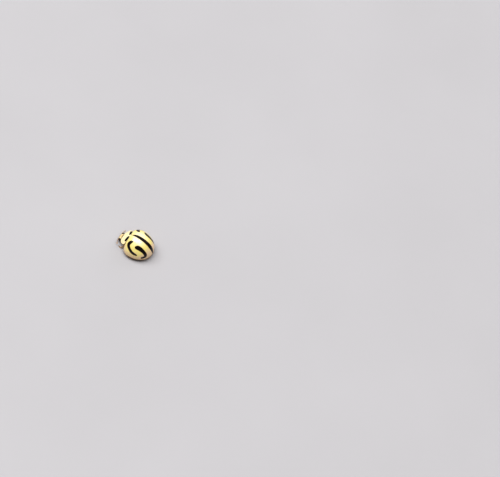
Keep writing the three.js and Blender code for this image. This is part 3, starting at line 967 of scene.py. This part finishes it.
class Look:
    """A node material around one Principled shader."""

    def __init__(self, name, **sockets):
        self.material = bpy.data.materials.new(name)
        self.material.use_nodes = True
        self.nodes = self.material.node_tree.nodes
        self.links = self.material.node_tree.links
        self.shader = self.nodes["Principled BSDF"]
        for socket, value in sockets.items():
            self.shader.inputs[socket.replace("_", " ")].default_value = value

    def node(self, kind, output, inputs=None, **settings):
        made = self.nodes.new(kind)
        for key, value in settings.items():
            setattr(made, key, value)
        for key, value in (inputs or {}).items():
            self.feed(made.inputs[key], value)
        return made.outputs[output]

    def feed(self, socket, value):
        if isinstance(value, bpy.types.NodeSocket):
            self.links.new(value, socket)
        else:
            socket.default_value = value

    def place(self):
        """The surface point in millimetres."""
        inputs = {0: self.node("ShaderNodeTexCoord", "Object"), "Scale": 1 / MM}
        return self.node("ShaderNodeVectorMath", 0, inputs, operation="SCALE")

    def field(self, name):
        return self.node("ShaderNodeAttribute", "Fac", attribute_name=name)

    def noise(self, per_mm):
        inputs = {"Vector": self.place(), "Scale": per_mm, "Detail": 3.0}
        return self.node("ShaderNodeTexNoise", "Fac", inputs)

    def cells(self, per_mm):
        return self.node("ShaderNodeTexVoronoi", "Distance", {"Vector": self.place(), "Scale": per_mm})

    def wavy(self, name, per_mm, by):
        """A field with noise added, from -by to by."""
        inputs = {0: self.field(name), 1: self.spread(self.noise(per_mm), 0, 1, -by, by)}
        return self.node("ShaderNodeMath", 0, inputs, operation="ADD")

    def spread(self, value, low, high, to_low=0.0, to_high=1.0):
        """Maps low..high smoothly to to_low..to_high."""
        inputs = {"Value": value, "From Min": low, "From Max": high, "To Min": to_low, "To Max": to_high}
        return self.node("ShaderNodeMapRange", "Result", inputs, interpolation_type="SMOOTHSTEP")

    def mix(self, share, a, b):
        a, b = (c if isinstance(c, bpy.types.NodeSocket) else (*c, 1) for c in (a, b))
        return self.node("ShaderNodeMix", "Result", {"Factor": share, "A": a, "B": b}, data_type="RGBA")

    def tint(self, base, colour, value, low, high, weight=1.0):
        """Turns the base to a colour as the value goes from low to high."""
        return self.mix(self.spread(value, low, high, 0, weight), base, colour)

    def finish(self, colour, roughness=None, cells=None, noise=None):
        """Roughness is (noise per mm, least, most). Cells and noise raise the surface, each as
        (number per mm, height in mm)."""
        self.feed(self.shader.inputs["Base Color"], colour)
        if roughness:
            per_mm, *limits = roughness
            self.feed(self.shader.inputs["Roughness"], self.spread(self.noise(per_mm), 0.2, 0.8, *limits))
        target = self.shader.inputs["Normal"]
        for kind, layer in ((self.noise, noise), (self.cells, cells)):
            if layer:
                made = self.nodes.new("ShaderNodeBump")
                self.feed(made.inputs["Height"], kind(layer[0]))
                made.inputs["Distance"].default_value = layer[1] * MM
                self.links.new(made.outputs["Normal"], target)
                target = made.inputs["Normal"]
        return self.material


STRIPE_BLACK = (0.003, 0.0015, 0.001)
STRIPE_EDGE = (0.008, -0.008)  # a stripe's edge is this soft, in millimetres
STRIPE_WAVE = (13.0, 0.007)


def wing_case_look():
    look = Look("wing_case", IOR=1.45, Coat_Weight=0.3, Coat_Roughness=0.05)
    cream, yellow, peach_and_shade = (0.92, 0.87, 0.53), (0.87, 0.77, 0.27), (0.84, 0.62, 0.46)
    amber_and_shade, brown = (0.30, 0.13, 0.04), (0.012, 0.005, 0.0025)
    # Cream over the crown, yellow further out and peach at the rim. The yellow and the pinkish rim are the
    # wing case's own colour; the paler cream crown is partly a painted highlight and the peach near the rim
    # is partly painted shade.
    reach = look.wavy("reach", 1.6, 0.12)
    base = look.tint(cream, yellow, reach, 0.25, 0.7)
    base = look.tint(base, peach_and_shade, reach, 0.82, 1.02, 0.75)
    base = look.tint(base, peach_and_shade, look.noise(5.0), 0.35, 0.7, 0.18)
    mark = look.wavy("stripe", *STRIPE_WAVE)
    base = look.tint(base, amber_and_shade, mark, 0.09, 0.0, 0.35)
    # Dark amber over the rim, bead and fold: partly their own colour and partly painted shade along the
    # lower edge.
    base = look.tint(base, amber_and_shade, look.field("tone"), 0.3, 1, 0.7)
    dark = look.tint(STRIPE_BLACK, brown, look.noise(14.0), 0.3, 0.7)
    base = look.tint(base, dark, mark, *STRIPE_EDGE)
    return look.finish(base, (30.0, 0.16, 0.26), (90.0, 0.0005), (3.0, 0.005))


def shield_look():
    look = Look("shield", IOR=1.4, Coat_Weight=0.08, Coat_Roughness=0.06)
    cream, honey = (0.89, 0.80, 0.48), (0.76, 0.57, 0.26)
    base = look.tint(cream, honey, look.noise(3.0), 0.35, 0.75, 0.2)
    base = look.tint(base, honey, look.field("tone"), 0.2, 1, 0.45)
    base = look.tint(base, STRIPE_BLACK, look.wavy("stripe", *STRIPE_WAVE), *STRIPE_EDGE)
    return look.finish(base, (30.0, 0.14, 0.22), (90.0, 0.0006), (4.0, 0.004))


def head_look():
    look = Look("head", IOR=1.5, Coat_Weight=0.15, Coat_Roughness=0.15)
    cream, honey, brown = (0.78, 0.66, 0.34), (0.55, 0.34, 0.12), (0.12, 0.05, 0.02)
    base = look.tint(cream, honey, look.noise(6.0), 0.35, 0.75, 0.5)
    # The tone field darkens the crown next to the shield (partly painted shade), the front of the face and
    # the underside of the head.
    base = look.tint(base, brown, look.field("tone"), 0.1, 1, 0.9)
    return look.finish(base, (40.0, 0.28, 0.42), (90.0, 0.0015), (9.0, 0.006))


def eye_look():
    look = Look("eye", IOR=1.55, Coat_Weight=0.4, Coat_Roughness=0.06)
    base = look.mix(look.noise(8.0), (0.010, 0.008, 0.008), (0.030, 0.018, 0.014))
    return look.finish(base, (50.0, 0.14, 0.24), noise=(120.0, 0.0006))


def limb_look():
    look = Look("limb", IOR=1.5, Coat_Weight=0.1, Coat_Roughness=0.2)
    honey, brown, dark = (0.56, 0.33, 0.12), (0.33, 0.155, 0.05), (0.07, 0.028, 0.012)
    base = look.tint(honey, brown, look.noise(7.0), 0.3, 0.75)
    base = look.tint(base, dark, look.field("tone"), 0.15, 1, 0.9)
    return look.finish(base, (40.0, 0.3, 0.45), (80.0, 0.0018), (16.0, 0.004))


def hair_look():
    look = Look("fine_hairs", IOR=1.5)
    gold, straw = (0.72, 0.56, 0.30), (0.85, 0.76, 0.55)
    base = look.tint(gold, straw, look.noise(12.0), 0.3, 0.7)
    base = look.tint(base, straw, look.field("tone"), 0, 1, 0.5)
    return look.finish(base, (60.0, 0.35, 0.5))


def underside_look():
    look = Look("underside", IOR=1.5, Coat_Weight=0.1, Coat_Roughness=0.2)
    dark, brown, rust = (0.035, 0.015, 0.008), (0.13, 0.055, 0.02), (0.38, 0.17, 0.06)
    honey, straw = (0.62, 0.42, 0.16), (0.80, 0.66, 0.34)
    base = look.tint(dark, brown, look.noise(5.0), 0.3, 0.75)
    base = look.tint(base, rust, look.field("reach"), 0.7, 1.0, 0.9)
    base = look.mix(look.field("tone"), base, look.mix(look.noise(5.0), honey, straw))
    return look.finish(base, (30.0, 0.32, 0.5), (40.0, 0.004), (10.0, 0.006))


# ---- stage, light and camera

PHOTO = Sizes(width=500, height=477)
LENS = 100.0
FILM = 36.0
PIXELS_PER_MM = 8.743  # the insect's scale in the photograph
AIM = Sizes(point=(0.0, 0.0, 1.2), pixel=(136.885, 241.914))
CAMERA_RIGHT = (-0.4787, 0.8647, 0.1521)
CAMERA_BACK = (0.4890, 0.1187, 0.8641)
FLOOR_SIZE = 0.5  # metres
FLOOR_COLOURS = (0.46, 0.455, 0.44), (0.50, 0.495, 0.48)
WORLD = Sizes(colour=(0.94, 0.94, 0.96, 1), as_light=0.2, as_backdrop=0.66)
LIGHTS = {  # direction from the insect, distance and size in metres, watts, colour
    "sky": ((0.05, -0.26, 0.96), 0.8, (0.48, 1.2), 7.7, (0.95, 0.94, 1.0)),
    "fill": ((-0.85, 0.4, 0.5), 1.0, (0.7, 0.7), 1.2, (1.0, 0.92, 0.98)),
}


def add_camera():
    """Sees the insect at the photograph's angle, size and place in the frame."""
    focal = PHOTO.width * LENS / FILM
    depth = focal / PIXELS_PER_MM
    across = (AIM.pixel[0] - PHOTO.width / 2) / focal
    above = (PHOTO.height / 2 - AIM.pixel[1]) / focal
    back = Vector(CAMERA_BACK).normalized()
    right = Vector(CAMERA_RIGHT)
    right = (right - back * right.dot(back)).normalized()
    facing = Matrix((right, back.cross(right), back)).transposed()
    swing = Vector((-across, -above, 1)).rotation_difference(Vector((0, 0, 1))).to_matrix()
    turned = facing @ swing
    place = Vector(AIM.point) - turned @ Vector((across * depth, above * depth, -depth))
    data = bpy.data.cameras.new("camera")
    data.lens, data.sensor_width = LENS, FILM
    data.clip_start, data.clip_end = 0.001, 20
    camera = add_object("camera", data)
    camera.matrix_world = Matrix.Translation(place * MM) @ turned.to_4x4()
    bpy.context.scene.camera = camera


def add_light(name, direction, distance, size, power, colour):
    """A soft light that faces the insect. Its size is given across and along the body."""
    data = bpy.data.lights.new(name, "AREA")
    data.shape = "RECTANGLE"
    data.size, data.size_y = size
    data.energy = power
    data.color = colour
    towards = Vector(direction).normalized()
    along = (Vector((0, 1, 0)) - towards * towards.y).normalized()
    turned = Matrix((along.cross(towards), along, towards)).transposed()
    light = add_object(name, data)
    light.matrix_world = Matrix.Translation(towards * distance) @ turned.to_4x4()


def add_stage():
    look = Look("floor", Roughness=0.85)
    look.finish(look.mix(look.noise(0.05), *FLOOR_COLOURS))
    bpy.ops.mesh.primitive_plane_add(size=FLOOR_SIZE)
    floor = bpy.context.object
    floor.name = "floor"
    floor.data.materials.append(look.material)
    world = bpy.data.worlds.new("world")
    world.use_nodes = True
    nodes, links = world.node_tree.nodes, world.node_tree.links
    background = nodes["Background"]
    background.inputs["Color"].default_value = WORLD.colour
    strength = nodes.new("ShaderNodeMapRange")  # paler as a backdrop than as a light
    strength.inputs["To Min"].default_value = WORLD.as_light
    strength.inputs["To Max"].default_value = WORLD.as_backdrop
    links.new(nodes.new("ShaderNodeLightPath").outputs["Is Camera Ray"], strength.inputs["Value"])
    links.new(strength.outputs["Result"], background.inputs["Strength"])
    bpy.context.scene.world = world
    for name, settings in LIGHTS.items():
        add_light(name, *settings)
    bpy.context.scene.view_settings.view_transform = "Standard"
    bpy.context.scene.view_settings.look = "High Contrast"


# ---- the whole insect

WING_CASE, SHIELD_LOOK, LIMB, UNDERSIDE, HAIRS = (
    wing_case_look(), shield_look(), limb_look(), underside_look(), hair_look()
)


def add_legs():
    for seed, (place, joints) in enumerate(LEGS.items(), start=40):
        hip, knee, ankle, toe = np.array(joints)
        skins = []
        for segment, shape in (
            ("femur", femur(hip, knee)), ("tibia", tibia(knee, ankle)), ("tarsus", tarsus(ankle, toe)),
        ):
            skins += shape.skins
            make_pair(f"{segment}_shell_{place}", shape, LIMB, "limb", f"{segment}_{place}")
        make_pair(f"claws_{place}", claws(ankle, toe), LIMB, "limb")
        make_pair(f"leg_hairs_{place}", hair_coat(skins, seed), HAIRS, "limb")


add_camera()
add_stage()
make_pair("wing_case", wing_case(seed=5), WING_CASE, "wing_case", "elytron")
make_piece("pronotum_plate", shield(seed=21), SHIELD_LOOK, "shield", "pronotum")
make_piece("scutellum_plate", scutellum(), SHIELD_LOOK, "shield", "scutellum")
make_piece("prosternum_plate", prosternum(), UNDERSIDE, "underside", "prosternum")
chest = trunk_part((-1.0, WAIST_Y), 130, 130, thorax_relief, 2600, "mid", NOSE.draw_in)
tail = trunk_part((WAIST_Y + 0.01, TRUNK.back - 0.01), 190, 110, abdomen_relief, 4200, "hind")
make_piece("thorax_plates", chest, UNDERSIDE, "underside", "thorax")
make_piece("abdomen_plates", tail, UNDERSIDE, "underside", "abdomen")
head, mouth, feeler = head_capsule(seed=33), mouthparts(), antenna()
make_piece("head_capsule", head, head_look(), "head", "head")
make_piece("jaws_and_palps", mouth, LIMB, "limb", "mouthparts")
make_pair("compound_eye", eye_ball(), eye_look(), "eye", "eye")
make_pair("feeler", feeler, LIMB, "limb", "antenna")
make_pair("feeler_hairs", hair_coat(feeler.skins, seed=50), HAIRS, "limb")
add_legs()
make_piece("face_hairs", hair_coat(head.skins, seed=51, keep=on_the_face), HAIRS, "head")
make_piece("mouth_hairs", hair_coat(mouth.skins, seed=52), HAIRS, "limb")
belly_hairs = hair_coat(chest.skins + tail.skins, seed=53, keep=underneath)
make_piece("belly_hairs", belly_hairs, HAIRS, "underside")
